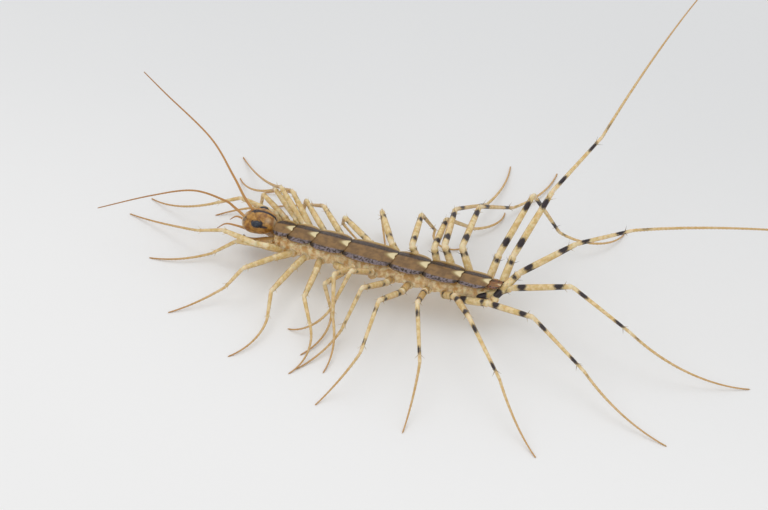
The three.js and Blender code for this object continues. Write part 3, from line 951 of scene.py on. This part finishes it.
@dataclass(frozen=True)
class Leg:
    """One leg: coxa, prefemur, femur, tibia and a ringed tarsus, on the pose's path."""

    pair: int
    side: Side
    pose: LegPose
    shape: LegShape = SHAPE

    @property
    def share(self) -> float:
        """0 for the first pair, 1 for the last."""
        return (self.pair - 1) / (LEG_PAIRS - 1)

    def lengths(self) -> tuple[float, float, float]:
        """Prefemur, femur and tibia lengths, which grow towards the last pair."""
        first, gain, power = self.shape.prefemur
        prefemur = first + gain * self.share**power
        first, gain, power = self.shape.femur
        femur = first + gain * self.share**power
        tibia = self.shape.tibia[0] + self.shape.tibia[1] * float(smooth((self.pair - 3) / 11))
        reach = self.pose.reach
        return prefemur * reach, femur * reach, tibia * reach

    def joints(self) -> Array:
        """Root, socket, hip, knee and ankle."""
        points = [SOCKETS.root(self.pair, self.side), SOCKETS.point(self.pair, self.side)]
        for length, pointing in zip(self.lengths(), (self.pose.prefemur, self.pose.femur, self.pose.tibia)):
            points.append(points[-1] + length * direction(*pointing))
        return np.array(points)

    def tip_radius(self) -> float:
        """Radius at the end of the tarsus."""
        return self.shape.radii[-1][-1]

    def tarsus(self, ankle: Array) -> tuple[Array, Array]:
        """Tarsus from the ankle: it sinks as (1 - s) ** 1.5 to the floor and turns evenly.

        Args:
            ankle: the tibia's end.

        Returns:
            Points from the ankle on, and the share s of each.
        """
        heading, turn, length = self.pose.tarsus
        count = int(round(length / self.shape.ring_pitch)) * self.shape.ring_stations
        s = np.linspace(0, 1, count + 1)
        last = self.shape.foot_z + self.pose.lift
        z = last + (ankle[2] - last) * (1 - s) ** self.shape.sink
        run = np.sqrt(np.maximum((length / count) ** 2 - np.diff(z) ** 2, 0))
        angle = np.radians(heading + turn * (s[:-1] + s[1:]) / 2)
        x = ankle[0] + np.concatenate([[0], np.cumsum(run * np.cos(angle))])
        y = ankle[1] + np.concatenate([[0], np.cumsum(run * np.sin(angle))])
        if self.pose.lift == 0:
            z = z - (self.shape.foot_z - self.tip_radius()) * s**2
        return np.stack([x, y, z], axis=-1), s

    def stations(self) -> tuple[Array, Array, Array]:
        """Path of the whole leg with rounded joints.

        Returns:
            Points, the segment number of each and its share of that segment.
        """
        joints = self.joints()
        tarsus, shares = self.tarsus(joints[-1])
        ways = unit(np.diff(np.vstack([joints, tarsus[2]]), axis=0))
        spans = np.linalg.norm(np.diff(joints, axis=0), axis=1)
        spans = np.append(spans, self.pose.tarsus[2])
        cut = self.shape.corner
        path, number, along = [], [], []
        for n, count in enumerate(self.shape.straight):
            start = 0.0 if n == 0 else cut / spans[n]
            share = np.linspace(start, 1 - cut / spans[n], count)
            path.append(joints[n] + spans[n] * share[:, None] * ways[n])
            number.append(np.full(count, n))
            along.append(share)
            b = np.linspace(0, 1, self.shape.bend + 2)[1:-1]
            corner = joints[n + 1]
            before, after = corner - cut * ways[n], corner + cut * ways[n + 1]
            curve = (1 - b)[:, None] ** 2 * before + (2 * b * (1 - b))[:, None] * corner
            path.append(curve + b[:, None] ** 2 * after)
            number.append(np.where(b < 0.5, n, n + 1))
            leaving, entering = 1 - cut / spans[n] * (1 - 2 * b), cut / spans[n + 1] * (2 * b - 1)
            along.append(np.where(b < 0.5, leaving, entering))
        kept = shares * spans[-1] > cut
        path.append(tarsus[kept])
        number.append(np.full(kept.sum(), Segment.TARSUS.value))
        along.append(shares[kept])
        return np.concatenate(path), np.concatenate(number), np.concatenate(along)

    def radius(self, number: Array, along: Array) -> Array:
        """Radius of each station.

        A parabola through the root, middle and end radii of its segment, drawn in at joints, with a collar
        before each joint and a ripple along the tarsus.
        """
        root, middle, end = (np.array(self.shape.radii)[number, k] for k in range(3))
        stout = 1 + np.array(self.shape.stouter)[number] * self.share
        base = parabola(along, root, middle, end)
        spans = np.array([self.shape.coxa, *self.lengths(), self.pose.tarsus[2]])[number]
        to_end, from_root = (1 - along) * spans, along * spans
        leg = number < Segment.TARSUS.value
        pinch = mound(to_end, self.shape.end_pinch) + mound(from_root, self.shape.root_pinch)
        collar = mound(to_end, self.shape.collar)
        rings = self.pose.tarsus[2] / self.shape.ring_pitch
        ripple = self.shape.ripple * np.cos(2 * np.pi * rings * along)
        tip = np.where(leg, 1.0, np.sqrt(np.clip(to_end / self.shape.tip_run, 0.05, 1)))
        return base * stout * np.where(leg, 1 + collar - pinch, 1 + ripple) * tip

    def bands(self, number: Array, along: Array) -> Array:
        """Strength of the dark rings, two on each long segment, stronger towards the last pair."""
        shape = self.shape
        rings = sum(bump(along, *band) for band in shape.bands)
        per_segment = np.array([0.0, 0.75, 1.0, 0.6 + 0.4 * self.share, 0.0])[number]
        strength = shape.faint + shape.middle_gain * smooth((self.pair - 2) / 5)
        strength += shape.rear_gain * smooth((self.pair - 7) / 6)
        on_tarsus = (number == Segment.TARSUS.value) * smooth((self.pair - 9) / 5)
        on_prefemur = (number == Segment.PREFEMUR.value) * smooth((self.pair - 11) / 3)
        marks = rings * per_segment * strength + mound(along, shape.first_band) * on_tarsus
        return marks + mound(along, shape.base_band) * on_prefemur

    def traits(self, number: Array, along: Array, angle: Array) -> dict[str, Array]:
        """Colour values at each station and angle."""
        tarsus = number == Segment.TARSUS.value
        marks = self.bands(number, along)[:, None] * (0.82 + 0.18 * np.cos(3 * angle))
        tan = np.where(tarsus, 0.35 + 0.75 * along, 0.12 + 0.1 * (number == Segment.TIBIA.value) * along)
        to_joint = np.minimum(along, 1 - along) * np.where(tarsus, 0.0, 1.0) + np.where(tarsus, 1.0, 0.0)
        coxa = (number == Segment.COXA.value).astype(float)
        return {
            "flank": (coxa * (1 - 0.4 * along))[:, None],
            "head": np.zeros_like(along)[:, None],
            "tan": np.clip(tan * (1 - 0.25 * self.share), 0, 1)[:, None],
            "pale": (0.5 * bump(to_joint, 0.0, 0.06))[:, None],
            "mark": np.clip(marks, 0, 1),
        }

    def patch(self, cell: Cell) -> Patch:
        """The leg's surface, slightly keeled along the femur and tibia."""
        path, number, along = self.stations()
        angle = circle(self.shape.around)
        keeled = np.isin(number, (Segment.FEMUR.value, Segment.TIBIA.value))[:, None]
        keel = self.shape.keel * keeled * np.cos(4 * angle)
        _, side, up = axes_along(path)
        radius = (self.radius(number, along)[:, None] * (1 + keel))[..., None]
        rings = path[:, None] + radius * spokes(angle, side, up)
        return Patch.tube(rings, self.traits(number, along, angle), cell)


@dataclass(frozen=True)
class SkinMap:
    """Layout of the skin on its bake map: a strip for each leg, then the trunk and the head."""

    strips: float = 0.66
    gap: float = 0.004

    def leg(self, place: int) -> Cell:
        """Strip of the leg that comes at a place in the order of making."""
        height = self.strips / (2 * LEG_PAIRS)
        return Cell(0.01, place * height + self.gap, 0.99, (place + 1) * height - self.gap)

    def trunk(self) -> Cell:
        """The trunk's rectangle."""
        return Cell(0.01, self.strips + self.gap, 0.72, 0.99)

    def head(self) -> Cell:
        """The head's rectangle."""
        return Cell(0.74, self.strips + self.gap, 0.99, 0.99)


@dataclass
class Body:
    """The flesh: trunk, head capsule and all legs as one skin."""

    trunk: Trunk = field(default_factory=Trunk)
    head: Head = field(default_factory=Head)
    layout: SkinMap = field(default_factory=SkinMap)

    def legs(self) -> list[Leg]:
        """All thirty legs, left side first."""
        return [Leg(n + 1, side, pose) for side, poses in POSES.items() for n, pose in enumerate(poses)]

    def build(self, shop: Workshop) -> bpy.types.Object:
        """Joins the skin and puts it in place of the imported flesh."""
        legs = self.legs()
        patches = [self.trunk.patch(self.layout.trunk()), self.head.patch(self.layout.head())]
        patches += [leg.patch(self.layout.leg(n)) for n, leg in enumerate(legs)]
        nodes = ["head", "trunk"] + [f"leg_{leg.side.label}_{leg.pair}" for leg in legs]
        return shop.piece("skin", Patch.joined(patches), SKIN.material(), tuple(nodes))

    def build_eyes(self, shop: Workshop) -> None:
        """Both compound eyes."""
        for side in Side:
            patch = self.head.eye_patch(side)
            shop.piece(f"compound_eye_{side.label}", patch, EYE.material(), (f"eye_{side.label}",))


@dataclass
class Spikes:
    """Many small straight hairs in one mesh, each a four-sided cone."""

    roots: list[Array] = field(default_factory=list)
    ways: list[Array] = field(default_factory=list)
    lengths: list[Array] = field(default_factory=list)
    widths: list[Array] = field(default_factory=list)
    places: list[Array] = field(default_factory=list)
    traits: dict[str, list[Array]] = field(default_factory=dict)

    PATCH = 0.003
    SIDES = 4

    def add(
        self, roots: Array, ways: Array, length: Array, width: Array, places: Array, traits: dict[str, Array]
    ) -> None:
        """Adds hairs.

        Args:
            roots: where they stand.
            ways: their unit directions.
            length: length of each, or of all.
            width: half width at the base of each, or of all.
            places: their places on the bake map.
            traits: their colour values.
        """
        self.roots.append(roots)
        self.ways.append(ways)
        self.lengths.append(np.broadcast_to(length, len(roots)))
        self.widths.append(np.broadcast_to(width, len(roots)))
        self.places.append(places)
        for name, value in traits.items():
            self.traits.setdefault(name, []).append(np.broadcast_to(value, len(roots)))

    def patch(self) -> Patch:
        """The joined hairs: base corners round the root, then a tip."""
        roots, ways = np.concatenate(self.roots), np.concatenate(self.ways)
        length, width = np.concatenate(self.lengths), np.concatenate(self.widths)
        places = np.concatenate(self.places)
        level = np.where(np.abs(ways[:, 2:]) > 0.9, [[1.0, 0.0, 0.0]], [[0.0, 0.0, 1.0]])
        side = unit(np.cross(level, ways))
        up = np.cross(ways, side)
        angle = circle(self.SIDES)
        reach = width[:, None, None] * spokes(angle, side, up)
        tips = roots + length[:, None] * ways
        points = np.concatenate([roots[:, None] + reach, tips[:, None]], axis=1)
        count, size = len(roots), self.SIDES + 1
        start = (np.arange(count) * size)[:, None, None]
        k = np.arange(self.SIDES)
        sides = np.stack([k, (k + 1) % self.SIDES, np.full(self.SIDES, self.SIDES)], -1)
        triangles = (sides[None] + start).reshape(-1, 3)
        floor = np.array([[3, 2, 1, 0]]) + start[:, 0]
        half = self.PATCH / 2
        corner = half * np.stack([np.cos(angle[0]), np.sin(angle[0])], -1)
        local = np.vstack([corner, [[0.0, 0.0]]])
        triangle_map = (places[:, None, None] + local[sides][None]).reshape(-1, 3, 2)
        floor_map = places[:, None] + local[[3, 2, 1, 0]][None]
        values = {name: np.repeat(np.concatenate(value), size) for name, value in self.traits.items()}
        return Patch(points.reshape(-1, 3), floor, floor_map, triangles, triangle_map, values)


@dataclass(frozen=True)
class Bristles:
    """Spurs at the joints, fine hairs on the keels and a brush under each tarsus."""

    spur: float = 0.52
    spur_width: float = 0.035
    hair: float = 0.2
    hair_width: float = 0.014
    sole: float = 0.14
    rooted: float = 0.9
    spur_turns: tuple[float, float, float] = (90.0, 205.0, 335.0)
    spur_shares: tuple[float, float, float] = (1.0, 0.85, 0.85)
    spur_gain: float = 0.35
    sole_turns: tuple[float, float] = (235.0, 305.0)
    per_segment: int = 26
    body: Body = field(default_factory=Body)

    def build(self, shop: Workshop) -> None:
        """Makes two coat pieces: the spurs, and the fine hairs."""
        random = np.random.default_rng(SEED)
        spurs, hairs = Spikes(), Spikes()
        for n, leg in enumerate(self.body.legs()):
            self.dress(leg, self.body.layout.leg(n), spurs, hairs, random)
        shop.piece("leg_spurs", spurs.patch(), SKIN.material())
        shop.piece("leg_hairs", hairs.patch(), SKIN.material())

    def dress(self, leg: Leg, cell: Cell, spurs: Spikes, hairs: Spikes, random: np.random.Generator) -> None:
        """Adds one leg's spurs and hairs.

        Args:
            leg: the leg.
            cell: its strip of the bake map.
            spurs: where its spurs go.
            hairs: where its hairs go.
            random: the seeded source of scatter.
        """
        path, number, along = leg.stations()
        tangent, side, up = axes_along(path)
        radius = leg.radius(number, along)

        def plant(
            into: Spikes, rows: Array, angle: Array, length: Array, width: float, lean: float, dark: float
        ) -> None:
            """Plants spikes on the leg.

            Args:
                into: the mesh that takes them.
                rows: their stations on the path.
                angle: their angles round it, in radians.
                length: their lengths.
                width: half width at the base.
                lean: how far they lean towards the tip.
                dark: tan added to the leg's colour.
            """
            out = np.cos(angle)[:, None] * side[rows] + np.sin(angle)[:, None] * up[rows]
            roots = path[rows] + self.rooted * radius[rows][:, None] * out
            ways = unit(out + lean * tangent[rows])
            places = cell.place(rows / (len(path) - 1), (angle % (2 * np.pi)) / (2 * np.pi))
            traits = leg.traits(number[rows], along[rows], np.zeros((len(rows), 1)))
            values = {name: value[:, 0] for name, value in traits.items()}
            values["tan"] = np.clip(values["tan"] + dark, 0, 1)
            into.add(roots, ways, length, width, places, values)

        for segment in (Segment.PREFEMUR, Segment.FEMUR, Segment.TIBIA):
            last = np.flatnonzero(number == segment.value)[-5]
            count = len(self.spur_turns)
            angle = np.radians(self.spur_turns) + random.normal(0, 0.12, count)
            length = self.spur * (1 + self.spur_gain * leg.share) * np.array(self.spur_shares)
            plant(spurs, np.full(count, last), angle, length, self.spur_width, 0.9, 0.2)
            rows = np.flatnonzero(number == segment.value)
            count = self.per_segment
            picked = random.choice(rows, count)
            angle = np.radians(90.0) * random.integers(0, 4, count) + random.normal(0, 0.25, count)
            length = self.hair * random.uniform(0.6, 1.2, count)
            plant(hairs, picked, angle, length, self.hair_width, 1.3, 0.3)
        rows = np.flatnonzero(number == Segment.TARSUS.value)[:: leg.shape.ring_stations]
        for turn in self.sole_turns:
            angle = np.radians(turn) + random.normal(0, 0.15, len(rows))
            fade = 0.45 + 0.55 * (1 - along[rows])
            plant(hairs, rows, angle, self.sole * fade, self.hair_width * fade, 1.4, 0.2)


@dataclass(frozen=True)
class BackPlate:
    """One arched plate: its place in the row, its visible front and rear and its half width."""

    number: int
    front: float
    rear: float
    half: float
    saddle: float


@dataclass(frozen=True)
class Back:
    """The eight back plates, laid like shingles, each rear margin over the next plate's front."""

    first_front: float = -10.15
    rears: tuple[float, ...] = (-8.4, -5.9, -2.5, 2.4, 5.8, 9.3, 12.15, 13.35)
    halves: tuple[float, ...] = (1.42, 1.6, 1.72, 1.74, 1.7, 1.62, 1.33, 0.78)
    saddles: tuple[float, ...] = (0.8, 0.85, 0.9, 1.0, 1.0, 0.95, 0.8, 0.35)
    gap: float = 0.06
    ridge: float = 4.2
    rise: float = 0.36
    lift: float = 0.06
    waist: float = 0.17
    corner: float = 0.24
    thickness: float = 0.13
    tuck: float = 0.4
    first_tuck: float = 0.1
    drop: float = 0.055
    hump: float = 0.12
    bead: Mound = (0.02, 0.97, 0.03)
    groove: Mound = (-0.03, 0.88, 0.04)
    ripple: float = 0.012
    round_off: float = 0.2
    notch: float = 0.08
    thinnest: float = 0.12
    rust: float = 0.7
    overlap: float = 0.12
    sway: float = 0.14
    stations: int = 60
    across: int = 48

    def plates(self) -> list[BackPlate]:
        """All plates, front to rear."""
        fronts = (self.first_front, *(rear + self.gap for rear in self.rears[:-1]))
        rows = zip(fronts, self.rears, self.halves, self.saddles)
        return [BackPlate(n + 1, *row) for n, row in enumerate(rows)]

    def patch(self, plate: BackPlate) -> Patch:
        """A plate's closed shell.

        The top is an arch, highest at the rear, with a bead along each side, a groove inside it and a low
        saddle at the rear. The underside follows it at the plate's thickness, which thins at every margin.
        """
        t = crowded(np.linspace(0, 1, self.stations)[:, None])
        out = np.linspace(-1, 1, self.across)
        u = np.sin(out * np.pi / 2)
        tuck = self.first_tuck if plate.number == 1 else self.tuck
        front = plate.front - tuck
        long = plate.rear + self.overlap - front
        ahead = 2 * t - 1
        width = plate.half * (1 - self.waist * np.abs(ahead) ** 3)
        round_off = self.round_off * np.abs(u) ** 6 * (smooth(2 * t - 1) - smooth(1 - 2 * t))
        notch = self.notch * bump(u, 0.0, 0.16) * t**8
        x = front + long * t - self.corner * u**2 * ahead - round_off - notch
        y = u * width
        shown = np.clip((x - plate.front) / (plate.rear - plate.front), 0, 1)
        tucked = smooth((plate.front + 0.05 - x) / 0.25)
        behind = plate.rear + self.overlap - x
        crest = self.ridge - self.lift * (1 - shown) - self.rise * (u * plate.half / max(self.halves)) ** 2
        hump = self.hump * plate.saddle * bump(y, 0.0, 0.38) * bump(behind, 0.2, 0.5)
        bead = mound(np.abs(u), self.bead) + mound(np.abs(u), self.groove)
        waves = self.ripple * np.cos(5 * np.pi * u) * (1 - u**2)
        top = crest + hump + bead + waves - self.drop * tucked
        edge = np.minimum(np.minimum(1 - t, t) * 9, 1) * np.minimum((1 - np.abs(u)) * 12 + 0.25, 1)
        bottom = top - self.thickness * np.clip(edge, self.thinnest, 1)
        upper = np.stack(np.broadcast_arrays(x, y, top), axis=-1)
        lower = np.stack(np.broadcast_arrays(x, y, bottom), axis=-1)[:, ::-1]
        rings = np.concatenate([lower, upper], axis=1)[:, ::-1]

        def both(value: Array) -> Array:
            """The value at each place of the ring, underside and top."""
            full = np.broadcast_to(value, x.shape)
            return np.concatenate([full[:, ::-1], full], axis=1)[:, ::-1]

        rust = self.rust if plate.number == len(self.rears) else 0.0
        traits = {
            "across": both(u + self.sway),
            "rear": both(behind / max(plate.saddle, 0.6)),
            "front": both(x - plate.front),
            "side": both(y / plate.saddle + (0.0 if plate.saddle > 0.5 else 0.3)),
            "tail": both(np.full_like(x, rust)),
        }
        return Patch.tube(rings, traits)

    def build(self, shop: Workshop) -> None:
        """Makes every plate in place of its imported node."""
        for plate in self.plates():
            name, node = f"back_plate_{plate.number}", f"tergite_{plate.number}"
            shop.piece(name, self.patch(plate), PLATE.material(), (node,))


@dataclass(frozen=True)
class Limb:
    """A tapered ringed rod on a smooth curve: feeler, palp or poison claw."""

    points: tuple[tuple[float, float, float], ...]
    radii: tuple[float, float, float]
    pitch: float
    ripple: float
    around: int = 12
    per_ring: int = 4
    end_run: float = 0.06

    def patch(self) -> Patch:
        """The rod: a parabola through its three radii, a ripple at the ring pitch, rounded at both ends."""
        points = np.array(self.points)
        long = float(np.linalg.norm(np.diff(points, axis=0), axis=1).sum())
        count = int(long / self.pitch) * self.per_ring
        path = through(points, count)
        s = np.linspace(0, 1, count)
        root, middle, end = self.radii
        base = parabola(s, root, middle, end)
        wave = np.cos(2 * np.pi * s * count / self.per_ring)
        ends = np.sqrt(np.clip(np.minimum(s, 1 - s) * long / self.end_run, 0.04, 1))
        angle = circle(self.around)
        _, side, up = axes_along(path)
        radius = (base * (1 + self.ripple * wave) * ends)[:, None, None]
        rings = path[:, None] + radius * spokes(angle, side, up)
        return Patch.tube(rings, {"length": s[:, None], "ring": (0.5 - 0.5 * wave)[:, None]})


FEELERS: dict[Side, Limb] = {
    Side.LEFT: Limb(
        (
            (-13.1, -0.35, 4.0),
            (-13.4, -0.2, 4.15),
            (-14.6, 0.0, 4.8),
            (-15.6, -0.4, 5.7),
            (-18.3, -1.7, 6.9),
            (-22.6, -2.5, 5.5),
            (-27.6, -4.1, 3.6),
        ),
        (0.18, 0.11, 0.05),
        pitch=0.22,
        ripple=0.06,
    ),
    Side.RIGHT: Limb(
        (
            (-13.0, 0.95, 4.2),
            (-13.3, 1.1, 4.35),
            (-14.5, 1.8, 5.0),
            (-16.1, 2.7, 6.5),
            (-19.4, 4.5, 8.9),
            (-26.2, 8.3, 9.8),
            (-29.8, 10.5, 10.1),
        ),
        (0.18, 0.11, 0.05),
        pitch=0.22,
        ripple=0.06,
    ),
}
PALPS: dict[Side, Limb] = {
    Side.LEFT: Limb(
        ((-13.1, -0.45, 3.0), (-14.3, -0.5, 3.1), (-15.4, -0.55, 3.0), (-16.3, -0.7, 2.3)),
        (0.13, 0.09, 0.035),
        pitch=0.3,
        ripple=0.05,
    ),
    Side.RIGHT: Limb(
        ((-13.2, 0.65, 2.9), (-14.6, 1.2, 2.8), (-15.3, 1.4, 2.6), (-15.9, 1.3, 2.1)),
        (0.13, 0.09, 0.035),
        pitch=0.3,
        ripple=0.05,
    ),
}
FANGS: dict[Side, Limb] = {
    Side.LEFT: Limb(
        (
            (-10.1, -0.6, 2.3),
            (-11.0, -0.75, 2.2),
            (-12.0, -1.0, 2.1),
            (-13.1, -0.75, 1.95),
            (-13.6, -0.33, 2.1),
        ),
        (0.6, 0.46, 0.05),
        pitch=0.1,
        ripple=0.0,
    ),
    Side.RIGHT: Limb(
        ((-10.1, 0.6, 2.3), (-11.0, 0.95, 2.2), (-12.0, 1.3, 2.1), (-13.1, 1.1, 1.95), (-13.6, 0.68, 2.1)),
        (0.6, 0.46, 0.05),
        pitch=0.1,
        ripple=0.0,
    ),
}


@dataclass(frozen=True)
class Mouth:
    """Feelers, palps and poison claws."""

    def build(self, shop: Workshop) -> None:
        """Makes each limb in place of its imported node."""
        for side in Side:
            rows = (
                ("feeler", FEELERS, FEELER, "feeler", "antenna"),
                ("mouth_palp", PALPS, FEELER, "feeler", "palp"),
                ("fang", FANGS, FANG, "claw", "poison_claw"),
            )
            for name, limbs, finish, slot, node in rows:
                patch = limbs[side].patch()
                shop.piece(f"{name}_{side.label}", patch, finish.material(), (f"{node}_{side.label}",))


@dataclass(frozen=True)
class Softbox:
    """A square area light: its name, place and aim in millimetres, side and power."""

    name: str
    place: tuple[float, float, float]
    side: float
    watts: float

    def hang(self, target: Array) -> None:
        """Hangs the light, facing the target in metres."""
        lamp = bpy.data.lights.new(self.name, "AREA")
        lamp.size = self.side * MM
        lamp.energy = self.watts
        holder = bpy.data.objects.new(self.name, lamp)
        at = Vector(target) + Vector(self.place) * MM
        holder.location = at
        holder.rotation_euler = (at - Vector(target)).to_track_quat("Z", "Y").to_euler()
        bpy.context.scene.collection.objects.link(holder)


@dataclass(frozen=True)
class Studio:
    """Pale floor, soft light and a long lens at the photograph's angle."""

    azimuth: float = 24.217
    elevation: float = 37.0
    distance: float = 312.616
    target: tuple[float, float, float] = (-0.8905, 4.7885, 0.0)
    lens: float = 150.0
    sensor: float = 36.0
    floor_half: float = 1500.0
    sky: float = 0.76
    boxes: tuple[Softbox, ...] = (
        Softbox("key", (-40.0, 180.0, 440.0), 340.0, 0.42),
        Softbox("fill", (-40.0, -320.0, 300.0), 260.0, 0.22),
    )

    def camera(self, body: BodyFrame) -> None:
        """Sets the camera: it looks down by the elevation, turned by the azimuth about the target."""
        turn, rise = np.radians(self.azimuth), np.radians(self.elevation)
        back = np.array([np.sin(turn) * np.cos(rise), -np.cos(turn) * np.cos(rise), np.sin(rise)])
        right = np.array([np.cos(turn), np.sin(turn), 0.0])
        up = np.cross(back, right)
        made = bpy.data.cameras.new("camera")
        made.lens = self.lens
        made.sensor_width = self.sensor
        made.clip_start = 0.01
        made.clip_end = 20.0
        holder = bpy.data.objects.new("camera", made)
        turned = Matrix([[right[k], up[k], back[k]] for k in range(3)]).to_4x4()
        place = body.to_row(np.array(self.target) + back * self.distance)
        holder.matrix_world = Matrix.Translation(Vector(place)) @ turned
        bpy.context.scene.collection.objects.link(holder)
        bpy.context.scene.camera = holder

    def floor(self) -> None:
        """A wide sheet of pale paper at z = 0: a grid of even steps."""
        steps = 8
        edge = np.linspace(-self.floor_half, self.floor_half, steps + 1) * MM
        x, y = np.meshgrid(edge, edge, indexing="ij")
        points = np.stack([x, y, np.zeros_like(x)], axis=-1).reshape(-1, 3)
        row, col = np.meshgrid(np.arange(steps), np.arange(steps), indexing="ij")
        size = steps + 1
        first = row * size + col
        quads = np.stack([first, first + size, first + size + 1, first + 1], -1)
        mesh = bpy.data.meshes.new("floor")
        mesh.from_pydata(points.tolist(), [], quads.reshape(-1, 4).tolist())
        mesh.materials.append(FLOOR.material())
        sheet = bpy.data.objects.new("floor", mesh)
        bpy.context.scene.collection.objects.link(sheet)

    def light(self, body: BodyFrame) -> None:
        """Even sky and the soft boxes."""
        scene = bpy.context.scene
        scene.world = bpy.data.worlds.new("sky")
        scene.world.use_nodes = True
        sky = scene.world.node_tree.nodes["Background"]
        sky.inputs["Color"].default_value = (1.0, 1.0, 1.0, 1.0)
        sky.inputs["Strength"].default_value = self.sky
        for box in self.boxes:
            box.hang(body.to_row(np.array(self.target)))
        scene.view_settings.view_transform = "Standard"

    def build(self, body: BodyFrame) -> None:
        """Camera, floor and light."""
        self.camera(body)
        self.floor()
        self.light(body)


def main() -> None:
    """Builds the animal and its studio."""
    logging.basicConfig(level=logging.INFO, format="%(name)s %(message)s")
    shop = Workshop()
    Studio().build(shop.body)
    body = Body()
    body.build(shop)
    body.build_eyes(shop)
    Back().build(shop)
    Mouth().build(shop)
    Bristles(body=body).build(shop)


if __name__ == "__main__":
    main()
